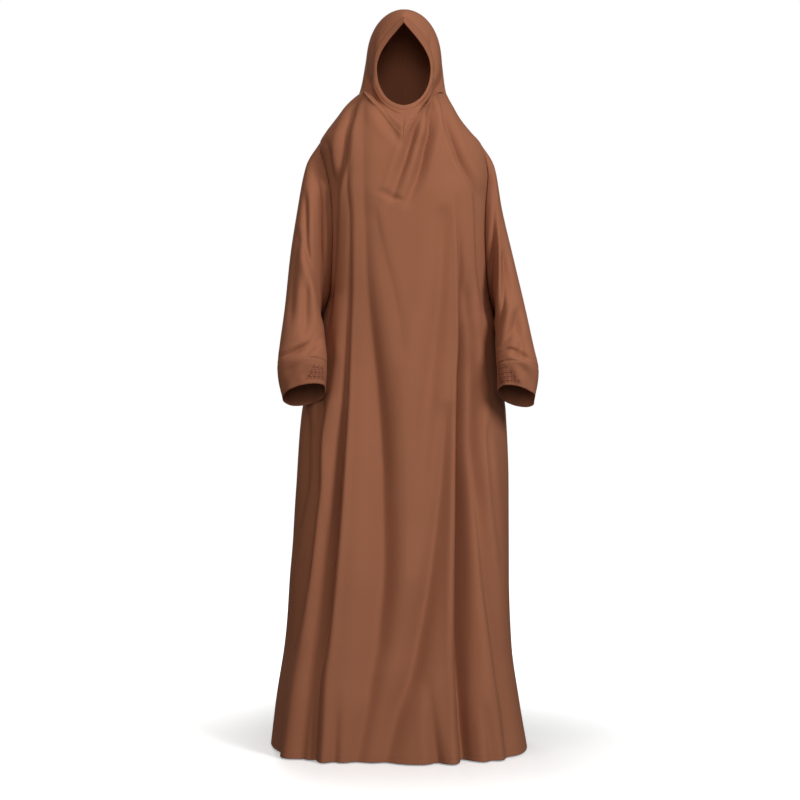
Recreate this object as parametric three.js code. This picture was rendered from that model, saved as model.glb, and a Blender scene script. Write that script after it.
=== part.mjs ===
import * as THREE from 'three';

// A full-length one-piece jilbab as it hangs when it is worn: hood, body and wide sleeves.
// Sizes are millimetres. +X is the right of the front view, the front faces -Y, +Z is up.
// The tables give heights above the hem, and at the end the garment is lowered so that
// the origin lies where the head carries the crown of the hood.

const CLOTH = 2;
const SEAM_GAP = 0.3;
const CROWN_HEIGHT = 1705;

// Heights of the seams' ends.
const NECK_SIDE = 1511;
const NECK_FRONT_DIP = 118;
const NECK_BACK_DIP = 12;
const SHOULDER = 1400;
const UNDERARM = 1000;

// The dropped armhole is an upright loop, this far forward and back of its middle.
const ARMHOLE_REACH = { front: 68, back: 52 };

// How finely each piece is divided.
const SHOULDER_ROWS = 4;
const ARMHOLE_ROWS = 11;
const SIDE_ROWS = 12;
const SLEEVE_ROWS = 13;
const CUFF_ROWS = 2;
const HOOD_ROWS = 10;

// A smooth curve through values at rising keys, with no overshoot between them.
function through(keys, values) {
  const last = keys.length - 1;
  const rise = (i) => (values[i + 1] - values[i]) / (keys[i + 1] - keys[i]);
  const slope = (i) => {
    if (i === 0) return rise(0);
    if (i === last) return rise(last - 1);
    const before = rise(i - 1);
    const after = rise(i);
    return before * after > 0 ? (2 * before * after) / (before + after) : 0;
  };
  return (key) => {
    const at = THREE.MathUtils.clamp(key, keys[0], keys[last]);
    let i = 0;
    while (i < last - 1 && at > keys[i + 1]) i += 1;
    const span = keys[i + 1] - keys[i];
    const t = (at - keys[i]) / span;
    const ease = t * t * (3 - 2 * t);
    const leave = t * (1 - t) * (1 - t) * span * slope(i);
    const arrive = t * t * (1 - t) * span * slope(i + 1);
    return values[i] * (1 - ease) + values[i + 1] * ease + leave - arrive;
  };
}

// A table's first column is its key. Every other column becomes a curve over that key.
function table(names, rows) {
  const rising = [...rows].sort((a, b) => a[0] - b[0]);
  const keys = rising.map((row) => row[0]);
  const curves = names.slice(1).map((name, i) => [name, through(keys, rising.map((row) => row[i + 1]))]);
  return Object.fromEntries(curves);
}

// The body's level sections: how wide it is to the left and right, where its sides lie
// from front to back, how far it stands forward and back, and how flat its front and back
// are (1 is an ellipse). The armholes are cut out of these sections.
const BODY = table(
  ['height', 'left', 'right', 'sideY', 'front', 'back', 'frontFlat', 'backFlat'],
  [
    [NECK_SIDE, 103, 101, 5, 112, 106, 1.0, 1.0],
    [1486, 130, 114, 5, 115, 103, 1.05, 1.0],
    [1451, 158, 135, 5, 121, 104, 1.12, 1.0],
    [1416, 185, 163, 5, 128, 108, 1.2, 1.0],
    [SHOULDER, 198, 179, 5, 131, 110, 1.22, 1.0],
    [1358, 188, 196, 5, 138, 114, 1.28, 1.0],
    [1311, 180, 203, 5, 144, 117, 1.32, 1.0],
    [1265, 173, 199, 5, 150, 117, 1.32, 1.0],
    [1172, 169, 196, 5, 153, 112, 1.28, 1.0],
    [1050, 172, 201, 6, 157, 110, 1.12, 1.0],
    [UNDERARM, 186, 211, 8, 159, 113, 1.02, 1.0],
    [965, 190, 217, 13, 161, 117, 0.95, 1.05],
    [930, 197, 219, 13, 163, 120, 0.92, 1.05],
    [860, 215, 228, 14, 168, 128, 0.92, 1.1],
    [770, 240, 243, 10, 175, 138, 0.98, 1.1],
    [600, 248, 246, 4, 192, 158, 1.2, 1.15],
    [400, 261, 246, 0, 212, 182, 1.35, 1.25],
    [240, 275, 251, 0, 228, 202, 1.45, 1.3],
    [110, 295, 268, 0, 241, 217, 1.55, 1.35],
    [0, 308, 287, 0, 250, 230, 1.6, 1.4],
  ],
);

// Each sleeve from its armhole (0) to its cuff seam (1): the line over the arm, the line
// under it, half its thickness from front to back, and how much its front edge rides up.
const SLEEVE_COLUMNS = ['along', 'overX', 'overY', 'overZ', 'underX', 'underY', 'underZ', 'half', 'rise'];
const SLEEVES = {
  left: table(SLEEVE_COLUMNS, [
    [0, 198, 5, SHOULDER, 186, 8, UNDERARM, 70, 0],
    [0.12, 225, 4, 1345, 198, -14, 989, 77, 2],
    [0.3, 246, -2, 1235, 192, -52, 974, 84, 6],
    [0.5, 262, -24, 1120, 183, -84, 952, 73, 10],
    [0.7, 271, -60, 1010, 176, -102, 926, 64, 15],
    [0.87, 280, -104, 922, 172, -126, 902, 57, 18],
    [1, 284, -128, 876, 171, -140, 878, 52, 18],
  ]),
  right: table(SLEEVE_COLUMNS, [
    [0, 179, 5, SHOULDER, 211, 8, UNDERARM, 66, 0],
    [0.12, 211, 1, 1344, 229, -12, 994, 78, 2],
    [0.3, 231, -2, 1235, 216, -48, 974, 84, 6],
    [0.5, 256, -24, 1120, 211, -80, 952, 72, 10],
    [0.7, 279, -60, 1010, 210, -102, 926, 63, 15],
    [0.87, 295, -104, 922, 210, -126, 900, 55, 18],
    [1, 306, -128, 866, 211, -140, 874, 50, 17],
  ]),
};
const CUFF_ENDS = {
  left: { overX: 270, overY: -128, overZ: 801, underX: 173, underY: -140, underZ: 820, half: 50, rise: 23 },
  right: { overX: 299, overY: -128, overZ: 797, underX: 215, underY: -140, underZ: 818, half: 48, rise: 22 },
};

// The hood's hoops from the edge of the face band (0) to the neckline (1). Each is a loop
// through a top, two sides and a low point under the chin. peak narrows it to a point at
// the top, as over the forehead.
const HOOD = table(
  ['turn', 'topY', 'topZ', 'middleX', 'sideX', 'sideY', 'sideZ', 'lowY', 'lowZ', 'peak'],
  [
    [0, -92, 1661, 1.5, 62, -62, 1560, -101, 1470, 2.2],
    [0.08, -88, 1673, 1.5, 73, -55, 1562, -105, 1459, 1.6],
    [0.22, -66, 1693, 2, 82, -34, 1580, -110, 1449, 1.15],
    [0.42, -12, 1704, 2.5, 87, -2, 1590, -116, 1438, 0.9],
    [0.64, 64, 1678, 2, 91, 22, 1573, -121, 1426, 0.9],
    [0.84, 104, 1600, 1, 97, 22, 1540, -126, 1414, 1],
    [1, 106, 1500, 0, 103, 5, NECK_SIDE, -129, 1393, 1],
  ],
);
const BAND_SEAM = 0.08;

// Folds. Each runs down from its top to its foot through four stations at equal steps:
// across is where it lies, deep is how far it sinks. width is its half width at the top
// and at the foot, and edge is 2 for a soft trough and nearer 1 for a sharp one.
const FRONT_FOLDS = [
  { top: 1470, foot: 1262, across: [-114, -129, -138, -152], deep: [9, 12, 14, 6], width: [8, 8], edge: 1.5 },
  {
    top: 1363, foot: 0, across: [-120, -126, -153, -187], deep: [6, 17, 32, 36], width: [10, 17], edge: 1.4,
    follow: { below: 900, neckAcross: -58 },
  },
  { top: 1420, foot: 0, across: [-85, -66, -28, -81], deep: [2, 12, 15, 12], width: [14, 32], edge: 2 },
  { top: 1200, foot: 390, across: [101, 83, 58, 22], deep: [3, 7, 6, 2], width: [20, 24], edge: 2 },
  { top: 760, foot: 0, across: [105, 87, 46, -20], deep: [2, 8, 14, 14], width: [20, 28], edge: 2 },
  {
    top: 1230, foot: 0, across: [131, 139, 135, 140], deep: [4, 34, 40, 46], width: [10, 15], edge: 1.4,
    follow: { below: 950, neckAcross: 58 },
  },
  { top: 1000, foot: 0, across: [158, 175, 203, 243], deep: [3, 7, 9, 9], width: [10, 14], edge: 2 },
  { top: 745, foot: 0, across: [-182, -200, -243, -284], deep: [10, 18, 15, 8], width: [12, 16], edge: 1.6 },
  { top: 1475, foot: 1255, across: [98, 113, 132, 172], deep: [9, 11, 11, 5], width: [9, 9], edge: 1.6 },
  { top: 1470, foot: 1262, across: [74, 66, 49, 26], deep: [10, 11, 8, 2], width: [9, 10], edge: 1.6 },
  { top: 1440, foot: 1296, across: [33, 22, 8, -8], deep: [8, 8, 5, 1], width: [8, 9], edge: 1.8 },
  { top: 110, foot: 0, across: [-214, -216, -219, -222], deep: [1, 5, 8, 10], width: [10, 12], edge: 2 },
];
const BACK_FOLDS = [
  {
    top: 1380, foot: 0, across: [-128, -140, -176, -222], deep: [4, 14, 20, 26], width: [14, 22], edge: 1.7,
    follow: { below: 1000, neckAcross: -76 },
  },
  {
    top: 1300, foot: 0, across: [-84, -92, -112, -146], deep: [2, 10, 18, 24], width: [14, 24], edge: 2,
    follow: { below: 1000, neckAcross: -48 },
  },
  {
    top: 1180, foot: 0, across: [-34, -40, -50, -66], deep: [2, 8, 14, 20], width: [12, 24], edge: 2,
    follow: { below: 1000, neckAcross: -18 },
  },
  {
    top: 1240, foot: 0, across: [22, 20, 18, 10], deep: [2, 8, 16, 22], width: [12, 26], edge: 1.8,
    follow: { below: 1000, neckAcross: 12 },
  },
  {
    top: 1340, foot: 0, across: [78, 84, 96, 106], deep: [3, 12, 20, 26], width: [13, 24], edge: 1.7,
    follow: { below: 1000, neckAcross: 42 },
  },
  {
    top: 1220, foot: 0, across: [128, 136, 156, 182], deep: [3, 12, 18, 22], width: [12, 22], edge: 1.9,
    follow: { below: 1000, neckAcross: 72 },
  },
];
const SLEEVE_FOLDS = {
  left: [
    {
      top: 1330, foot: 985, across: [-200, -189, -180, -172], deep: [6, 12, 12, 8], width: [9, 8], edge: 1.7,
    },
    {
      top: 1270, foot: 1060, across: [-228, -221, -211, -190], deep: [5, 9, 9, 4], width: [8, 8], edge: 1.8,
    },
    {
      top: 1000, foot: 905, across: [-262, -250, -236, -226], deep: [1, 4, 6, 5], width: [10, 12], edge: 2,
    },
  ],
  right: [
    { top: 1230, foot: 1010, across: [213, 210, 203, 197], deep: [3, 9, 14, 12], width: [8, 8], edge: 1.6 },
    { top: 1125, foot: 930, across: [238, 236, 227, 208], deep: [3, 8, 12, 10], width: [9, 9], edge: 1.7 },
    { top: 980, foot: 905, across: [238, 246, 254, 262], deep: [2, 6, 6, 3], width: [10, 10], edge: 2 },
  ],
};
const SLEEVE_BACK_FOLDS = {
  left: [
    { top: 1330, foot: 960, across: [-196, -206, -214, -212], deep: [3, 9, 9, 3], width: [10, 12], edge: 2 },
  ],
  right: [
    { top: 1330, foot: 960, across: [200, 214, 226, 236], deep: [3, 9, 9, 3], width: [10, 12], edge: 2 },
  ],
};
const HOOD_FOLDS = [
  { top: 1640, foot: 1500, across: [-67, -69, -74, -92], deep: [1, 4, 6, 7], width: [6, 8], edge: 1.8 },
  { top: 1640, foot: 1490, across: [72, 74, 81, 86], deep: [1, 4, 6, 7], width: [6, 8], edge: 1.8 },
  { top: 1520, foot: 1405, across: [-74, -58, -36, -12], deep: [3, 6, 6, 4], width: [8, 9], edge: 1.8 },
  { top: 1520, foot: 1420, across: [70, 54, 42, 29], deep: [1, 4, 5, 4], width: [8, 9], edge: 1.8 },
];
const STATIONS = [0, 1 / 3, 2 / 3, 1];
const FOLD_FADE = 45;

// Folds and the neckline's dip die out at a panel's seams. The higher this is, the nearer
// to the seam they stay whole.
const SEAM_HOLD = 14;
const NECK_HOLD = 6;

// Columns of a panel that follow its leading folds, in half widths of the fold, and how
// many steps are spread before, between and after those folds.
const COLUMN_CROWD = { front: [-2.4, -1.3, -0.6, 0, 0.6, 1.3, 2.4], back: [-1.1, 0, 1.1] };
const COLUMN_SPREAD = { front: [8, 18, 8], back: [3, 2, 2, 2, 2, 2, 3] };

function prepared(fold) {
  return {
    ...fold,
    path: through(STATIONS, fold.across),
    depth: through(STATIONS, fold.deep),
  };
}

// How far all the folds of one list sink the cloth at a place.
function sunk(folds, across, height) {
  let sum = 0;
  for (const fold of folds) {
    const t = (fold.top - height) / (fold.top - fold.foot);
    const down = THREE.MathUtils.clamp(t, 0, 1);
    const fadeIn = THREE.MathUtils.smoothstep(fold.top + FOLD_FADE - height, 0, 2 * FOLD_FADE);
    const fadeOut = fold.foot > 0 ? THREE.MathUtils.smoothstep(height - fold.foot, -FOLD_FADE, FOLD_FADE) : 1;
    const width = THREE.MathUtils.lerp(fold.width[0], fold.width[1], down);
    const off = Math.abs(across - fold.path(down)) / width;
    sum += fold.depth(down) * fadeIn * fadeOut * Math.exp(-(off ** fold.edge));
  }
  return sum;
}

const panelFolds = { front: FRONT_FOLDS.map(prepared), back: BACK_FOLDS.map(prepared) };
const hoodFolds = HOOD_FOLDS.map(prepared);
const sleeveFolds = {
  front: { left: SLEEVE_FOLDS.left.map(prepared), right: SLEEVE_FOLDS.right.map(prepared) },
  back: { left: SLEEVE_BACK_FOLDS.left.map(prepared), right: SLEEVE_BACK_FOLDS.right.map(prepared) },
};

// How far round the armhole a height lies: 0 at the underarm, pi at the shoulder.
function armholeTurn(height) {
  const middle = (SHOULDER + UNDERARM) / 2;
  const reach = (SHOULDER - UNDERARM) / 2;
  return Math.acos(THREE.MathUtils.clamp((middle - height) / reach, -1, 1));
}

// The middle of the front or back of a section.
function middleY(face, height) {
  return face === 'front' ? -BODY.front(height) : BODY.back(height);
}

function flatness(face, height) {
  return face === 'front' ? BODY.frontFlat(height) : BODY.backFlat(height);
}

function halfWidth(side, height) {
  return side < 0 ? BODY.left(height) : BODY.right(height);
}

// The angle at which a panel ends: the side of the body, or the edge of its armhole.
function endAngle(face, height) {
  const depth = Math.abs(BODY.sideY(height) - middleY(face, height));
  const open = (ARMHOLE_REACH[face] * Math.sin(armholeTurn(height))) / depth;
  return Math.acos(1 - (1 - open) ** (1 / flatness(face, height)));
}

// A section's point at an angle from the middle of the front or back, negative to the left.
function panelPoint(face, angle, height) {
  const share = (1 - Math.cos(angle)) ** flatness(face, height);
  const x = halfWidth(angle, height) * Math.sin(angle);
  const y = THREE.MathUtils.lerp(middleY(face, height), BODY.sideY(height), share);
  return new THREE.Vector3(x, y, height);
}

// A panel's point sunk by its folds along its level normal. The seams stay in place.
function foldedPanelPoint(face, angle, height) {
  const step = 0.01;
  const point = panelPoint(face, angle, height);
  const before = panelPoint(face, angle - step, height);
  const along = panelPoint(face, angle + step, height).sub(before).normalize();
  const inward = new THREE.Vector3(-along.y, along.x, 0);
  if (face === 'back') inward.negate();
  const toSeam = Math.min(Math.abs(angle) / endAngle(face, height), 1);
  const depth = sunk(panelFolds[face], point.x, height);
  return point.addScaledVector(inward, depth * (1 - toSeam ** SEAM_HOLD));
}

// Where columns that follow a fold lie at a height. High up they lean in to the neckline.
function followLine(fold, height) {
  const { below, neckAcross } = fold.follow;
  const down = (fold.top - Math.min(height, below)) / (fold.top - fold.foot);
  const line = fold.path(THREE.MathUtils.clamp(down, 0, 1));
  const up = Math.max(height - below, 0) / (NECK_SIDE - below);
  return THREE.MathUtils.lerp(line, neckAcross, up);
}

// The angles of a panel's columns. Some follow the leading folds, crowded in half widths
// of the fold round its line, and the others are spread evenly between those.
function columnAngles(face, height) {
  const folds = panelFolds[face].filter((fold) => 'follow' in fold);
  const crowd = COLUMN_CROWD[face];
  const end = endAngle(face, height);
  const angles = [-end];
  const spreadTo = (angle, steps) => {
    const from = angles[angles.length - 1];
    for (let i = 1; i <= steps; i += 1) angles.push(THREE.MathUtils.lerp(from, angle, i / steps));
  };
  folds.forEach((fold, order) => {
    const line = followLine(fold, height);
    const down = THREE.MathUtils.clamp((fold.top - height) / (fold.top - fold.foot), 0, 1);
    const width = THREE.MathUtils.lerp(fold.width[0], fold.width[1], down);
    const side = halfWidth(line, height);
    const around = crowd.map((offset) => Math.asin((line + offset * width) / side));
    spreadTo(around[0], COLUMN_SPREAD[face][order]);
    angles.push(...around.slice(1));
  });
  spreadTo(end, COLUMN_SPREAD[face][folds.length]);
  return angles;
}

// The neckline dips to a V in front and a little at the nape.
function neckDip(face, angle) {
  if (face === 'front') return NECK_FRONT_DIP * Math.max(1 - Math.abs(angle) / (Math.PI / 2), 0) ** 3.2;
  return NECK_BACK_DIP * Math.cos(angle) ** 2;
}

// The heights of the rows at the seams, shared by every piece that meets there.
function rowHeights() {
  const shoulder = Array.from({ length: SHOULDER_ROWS }, (_, i) =>
    THREE.MathUtils.lerp(NECK_SIDE, SHOULDER, i / SHOULDER_ROWS));
  const middle = (SHOULDER + UNDERARM) / 2;
  const reach = (SHOULDER - UNDERARM) / 2;
  const armhole = Array.from({ length: ARMHOLE_ROWS }, (_, i) =>
    middle + reach * Math.cos((Math.PI * i) / ARMHOLE_ROWS));
  const side = Array.from({ length: SIDE_ROWS + 1 }, (_, i) =>
    UNDERARM * (1 - (i / SIDE_ROWS)));
  return [...shoulder, ...armhole, ...side];
}

const heights = rowHeights();

function panelGrid(face) {
  return heights.map((height) => {
    const depth = THREE.MathUtils.smoothstep(height, UNDERARM, NECK_SIDE);
    const row = columnAngles(face, height).map((angle) => {
      const held = 1 - Math.min(Math.abs(angle) / endAngle(face, height), 1) ** NECK_HOLD;
      return foldedPanelPoint(face, angle, height - neckDip(face, angle) * depth * held);
    });
    return face === 'front' ? row : row.reverse();
  });
}

const frontGrid = panelGrid('front');
const backGrid = panelGrid('back');
const FRONT_COLUMNS = frontGrid[0].length - 1;
const BACK_COLUMNS = backGrid[0].length - 1;

// One half of the neckline from the nape round the side to the point of the V.
function neckHalf(side) {
  const backRow = backGrid[0];
  const frontRow = frontGrid[0];
  const backMiddle = BACK_COLUMNS / 2;
  const frontMiddle = FRONT_COLUMNS / 2;
  if (side > 0) {
    const behind = backRow.slice(0, backMiddle + 1).reverse();
    return [...behind, ...frontRow.slice(frontMiddle, FRONT_COLUMNS).reverse()];
  }
  return [...backRow.slice(backMiddle), ...frontRow.slice(1, frontMiddle + 1)];
}

// A hoop of the hood at one place round its half loop: 0 at the top, 1 under the chin.
function hoopPoint(side, turn, round) {
  const upper = round < 0.5;
  const t = upper ? round * 2 : 2 - round * 2;
  const end = upper ? [HOOD.topY(turn), HOOD.topZ(turn)] : [HOOD.lowY(turn), HOOD.lowZ(turn)];
  const middle = [HOOD.sideY(turn), HOOD.sideZ(turn)];
  const slope = [(HOOD.lowY(turn) - HOOD.topY(turn)) / 2, (HOOD.lowZ(turn) - HOOD.topZ(turn)) / 2];
  const ease = t * t * (3 - 2 * t);
  const arrive = (upper ? -1 : 1) * (Math.PI / 2) * t * t * (1 - t);
  const [y, z] = [0, 1].map((i) => end[i] * (1 - ease) + middle[i] * ease + arrive * slope[i]);
  const narrow = upper ? HOOD.peak(turn) : 1;
  const x = HOOD.sideX(turn) * Math.sin((t * Math.PI) / 2) ** narrow;
  return new THREE.Vector3(HOOD.middleX(turn) + side * x, y, z);
}

function hoodColumns() {
  const behind = Array.from({ length: BACK_COLUMNS / 2 }, (_, i) => i / BACK_COLUMNS);
  const before = Array.from({ length: FRONT_COLUMNS / 2 + 1 }, (_, i) => 0.5 + i / FRONT_COLUMNS);
  return [...behind, ...before];
}

function hoodPoint(side, turn, round, neck) {
  const hoop = hoopPoint(side, turn, round);
  const follow = turn ** 3;
  const pull = neck.clone().sub(hoopPoint(side, 1, round)).multiplyScalar(follow);
  const point = hoop.add(pull);
  const outward = new THREE.Vector3(point.x, point.y - 10, 0).normalize();
  const facing = THREE.MathUtils.smoothstep(-point.y, -5, 25);
  const held = THREE.MathUtils.smoothstep(turn, 0, 0.12) * THREE.MathUtils.smoothstep(1 - turn, 0, 0.1);
  return point.addScaledVector(outward, -sunk(hoodFolds, point.x, point.z) * facing * held);
}

function hoodGrid(side) {
  const rounds = hoodColumns();
  const neck = neckHalf(side);
  const turns = Array.from({ length: HOOD_ROWS + 1 }, (_, i) =>
    THREE.MathUtils.lerp(BAND_SEAM, 1, (i / HOOD_ROWS) ** 1.15));
  return turns.map((turn) => {
    const row = rounds.map((round, i) => hoodPoint(side, turn, round, neck[i]));
    return side < 0 ? row : row.reverse();
  });
}

const hoodGrids = { left: hoodGrid(-1), right: hoodGrid(1) };

// The face band runs from the chin over the forehead and back to the chin.
function bandGrid() {
  const rounds = hoodColumns();
  const edge = (side) => rounds.map((round) => hoopPoint(side, 0, round));
  const inner = [...edge(1).reverse(), ...edge(-1).slice(1)];
  const outer = [...hoodGrids.right[0], ...hoodGrids.left[0].slice(1)];
  return [inner, outer];
}

// A ring of a sleeve or cuff: 0 under the arm, a quarter turn is its front, pi is over it.
function ringPoint(side, ring, angle) {
  const over = new THREE.Vector3(side * ring.overX, ring.overY, ring.overZ);
  const under = new THREE.Vector3(side * ring.underX, ring.underY, ring.underZ);
  const middle = over.clone().add(under).multiplyScalar(0.5);
  const reach = over.sub(under).multiplyScalar(0.5);
  const forward = new THREE.Vector3(0, -ring.half, ring.rise);
  return middle.addScaledVector(reach, -Math.cos(angle)).addScaledVector(forward, Math.sin(angle));
}

function sleeveRing(name, along) {
  return Object.fromEntries(SLEEVE_COLUMNS.slice(1).map((column) => [column, SLEEVES[name][column](along)]));
}

// The armhole from the underarm up the front to the shoulder and down the back.
function armholeLoop(side) {
  const first = SHOULDER_ROWS;
  const last = SHOULDER_ROWS + ARMHOLE_ROWS;
  const frontColumn = side < 0 ? 0 : FRONT_COLUMNS;
  const backColumn = side < 0 ? BACK_COLUMNS : 0;
  const upFront = frontGrid.slice(first, last + 1).map((row) => row[frontColumn]).reverse();
  const downBack = backGrid.slice(first + 1, last + 1).map((row) => row[backColumn]);
  return [...upFront, ...downBack];
}

function sleevePoint(name, side, along, angle, seam) {
  const point = ringPoint(side, sleeveRing(name, along), angle);
  const follow = (1 - Math.min(along / 0.3, 1)) ** 2;
  point.addScaledVector(seam.clone().sub(ringPoint(side, sleeveRing(name, 0), angle)), follow);
  const folds = sleeveFolds[angle < Math.PI ? 'front' : 'back'][name];
  const facing = Math.abs(Math.sin(angle));
  const held = THREE.MathUtils.smoothstep(along, 0, 0.1) * THREE.MathUtils.smoothstep(1 - along, 0, 0.08);
  const inward = new THREE.Vector3(side * Math.cos(angle) * 0.5, Math.sin(angle), 0);
  return point.addScaledVector(inward, sunk(folds, point.x, point.z) * facing * held);
}

function tubeGrid(side, rows) {
  return rows.map((row) => (side < 0 ? row.reverse() : row));
}

function sleeveGrid(name, side) {
  const loop = armholeLoop(side);
  const turns = loop.map((_, i) => (Math.PI * i) / ARMHOLE_ROWS);
  const rows = Array.from({ length: SLEEVE_ROWS + 1 }, (_, i) => {
    const along = i / SLEEVE_ROWS;
    return turns.map((angle, k) => sleevePoint(name, side, along, angle, loop[k]));
  });
  return tubeGrid(side, rows);
}

function cuffGrid(name, side) {
  const start = sleeveRing(name, 1);
  const end = CUFF_ENDS[name];
  const turns = Array.from({ length: 2 * ARMHOLE_ROWS + 1 }, (_, i) => (Math.PI * i) / ARMHOLE_ROWS);
  const rows = Array.from({ length: CUFF_ROWS + 1 }, (_, i) => {
    const mix = (column) => THREE.MathUtils.lerp(start[column], end[column], i / CUFF_ROWS);
    const ring = Object.fromEntries(Object.keys(end).map((column) => [column, mix(column)]));
    return turns.map((angle) => ringPoint(side, ring, angle));
  });
  return tubeGrid(side, rows);
}

const pieces = {
  front: frontGrid,
  back: backGrid,
  hood_left: hoodGrids.left,
  hood_right: hoodGrids.right,
  face_band: bandGrid(),
  sleeve_left: sleeveGrid('left', -1),
  sleeve_right: sleeveGrid('right', 1),
  cuff_left: cuffGrid('left', -1),
  cuff_right: cuffGrid('right', 1),
};

// Pieces that meet share one normal at each point of their seam, so their walls end in
// the same face. Points are matched by their place.
function placeKey(point) {
  return point.toArray().map((value) => Math.round(value * 100)).join(' ');
}

function addNormal(normals, key, normal) {
  if (!normals.has(key)) normals.set(key, new THREE.Vector3());
  normals.get(key).add(normal);
}

function gridNormals(grid) {
  const normals = new Map();
  for (let i = 0; i + 1 < grid.length; i += 1) {
    for (let k = 0; k + 1 < grid[i].length; k += 1) {
      const corners = [grid[i][k], grid[i][k + 1], grid[i + 1][k + 1], grid[i + 1][k]];
      const down = corners[2].clone().sub(corners[0]);
      const across = corners[1].clone().sub(corners[3]);
      const normal = down.cross(across);
      corners.forEach((corner) => addNormal(normals, placeKey(corner), normal));
    }
  }
  normals.forEach((normal) => normal.normalize());
  return normals;
}

// Every piece at a seam counts alike there, however large its faces are.
function gatherNormals(grids) {
  const shared = new Map();
  grids.forEach((grid) => gridNormals(grid).forEach((normal, key) => addNormal(shared, key, normal)));
  shared.forEach((normal) => normal.normalize());
  return shared;
}

const normals = gatherNormals(Object.values(pieces));

// A point of a piece's edge, moved into the piece by half the seam gap.
function easedFromSeam(grid, i, k, normal) {
  const moved = grid[i][k].clone();
  const ease = (inner, before, after) => {
    const along = after.clone().sub(before);
    const into = along.cross(normal).normalize();
    if (into.dot(inner.clone().sub(grid[i][k])) < 0) into.negate();
    moved.addScaledVector(into, SEAM_GAP / 2);
  };
  const last = { i: grid.length - 1, k: grid[i].length - 1 };
  const beside = [grid[i][Math.max(k - 1, 0)], grid[i][Math.min(k + 1, last.k)]];
  const above = [grid[Math.max(i - 1, 0)][k], grid[Math.min(i + 1, last.i)][k]];
  if (i === 0) ease(grid[1][k], ...beside);
  if (i === last.i) ease(grid[i - 1][k], ...beside);
  if (k === 0) ease(grid[i][1], ...above);
  if (k === last.k) ease(grid[i][k - 1], ...above);
  return moved;
}

// A closed wall of cloth over a grid of points, with rows down and columns to the right
// as seen from outside.
function clothWall(grid) {
  const rows = grid.length;
  const columns = grid[0].length;
  const outside = [];
  const inside = [];
  grid.forEach((row, i) => row.forEach((point, k) => {
    const normal = normals.get(placeKey(point));
    const place = easedFromSeam(grid, i, k, normal);
    outside.push(place.clone().addScaledVector(normal, CLOTH / 2));
    inside.push(place.clone().addScaledVector(normal, -CLOTH / 2));
  }));
  const count = rows * columns;
  const at = (i, k) => i * columns + k;
  const faces = [];
  for (let i = 0; i + 1 < rows; i += 1) {
    for (let k = 0; k + 1 < columns; k += 1) {
      const [a, b, c, d] = [at(i, k), at(i + 1, k), at(i + 1, k + 1), at(i, k + 1)];
      faces.push(a, b, c, a, c, d);
      faces.push(count + a, count + c, count + b, count + a, count + d, count + c);
    }
  }
  const rim = [];
  for (let k = 0; k + 1 < columns; k += 1) rim.push([at(0, k + 1), at(0, k)]);
  for (let i = 0; i + 1 < rows; i += 1) rim.push([at(i, 0), at(i + 1, 0)]);
  for (let k = 0; k + 1 < columns; k += 1) rim.push([at(rows - 1, k), at(rows - 1, k + 1)]);
  for (let i = rows - 1; i > 0; i -= 1) rim.push([at(i, columns - 1), at(i - 1, columns - 1)]);
  rim.forEach(([a, b]) => faces.push(b, a, count + a, b, count + a, count + b));
  const geometry = new THREE.BufferGeometry().setFromPoints([...outside, ...inside]);
  geometry.setIndex(faces);
  geometry.computeVertexNormals();
  return geometry;
}

const CLOTH_COLOUR = 0x8b5a42;

function clothMaterial() {
  return new THREE.MeshStandardMaterial({ color: CLOTH_COLOUR, roughness: 0.85, metalness: 0 });
}

const jilbab = new THREE.Group();
Object.entries(pieces).forEach(([name, grid]) => {
  const mesh = new THREE.Mesh(clothWall(grid), clothMaterial());
  mesh.name = name;
  jilbab.add(mesh);
});
jilbab.position.z = CLOTH / 2 - (CROWN_HEIGHT - CLOTH / 2);

export default jilbab;
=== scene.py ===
# %% [markdown]
# A full-length hooded jilbab, as it hangs when it is worn. The real one is crepe, cut in a
# front, a back, two hood halves, a face band, two sleeves and two cuffs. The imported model
# already holds those pieces as plain walls. Here each becomes a thin, finely divided sheet
# of cloth with all of its folds, and gets the look of the fabric.

# %% Load the frame
import bmesh
import bpy
import numpy as np
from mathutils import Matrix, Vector


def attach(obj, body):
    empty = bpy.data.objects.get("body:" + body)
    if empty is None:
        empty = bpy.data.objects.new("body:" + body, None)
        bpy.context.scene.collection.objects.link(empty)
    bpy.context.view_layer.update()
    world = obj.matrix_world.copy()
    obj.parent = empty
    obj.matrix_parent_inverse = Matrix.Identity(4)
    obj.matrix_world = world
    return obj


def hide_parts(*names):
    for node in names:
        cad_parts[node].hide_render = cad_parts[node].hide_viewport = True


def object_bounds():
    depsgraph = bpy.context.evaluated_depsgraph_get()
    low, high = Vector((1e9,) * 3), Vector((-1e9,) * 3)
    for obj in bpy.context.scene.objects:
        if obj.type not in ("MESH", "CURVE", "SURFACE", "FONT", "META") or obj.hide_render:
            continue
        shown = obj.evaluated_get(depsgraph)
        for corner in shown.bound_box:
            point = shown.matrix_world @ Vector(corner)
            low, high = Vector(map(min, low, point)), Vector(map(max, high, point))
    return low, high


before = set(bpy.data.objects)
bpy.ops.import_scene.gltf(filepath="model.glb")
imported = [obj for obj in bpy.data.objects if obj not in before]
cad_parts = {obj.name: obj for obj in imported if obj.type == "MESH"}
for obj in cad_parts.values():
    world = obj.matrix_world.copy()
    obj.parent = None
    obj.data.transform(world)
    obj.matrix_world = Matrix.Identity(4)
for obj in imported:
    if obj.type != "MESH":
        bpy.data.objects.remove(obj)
CAD_BOX = [list(corner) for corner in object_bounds()]
print("packed model from", CAD_BOX[0], "to", CAD_BOX[1])

# %% [markdown]
# The photograph looks straight at the garment from the height of its middle. A long lens
# keeps the hood and the hem in proportion, so the camera stands well back.

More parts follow.
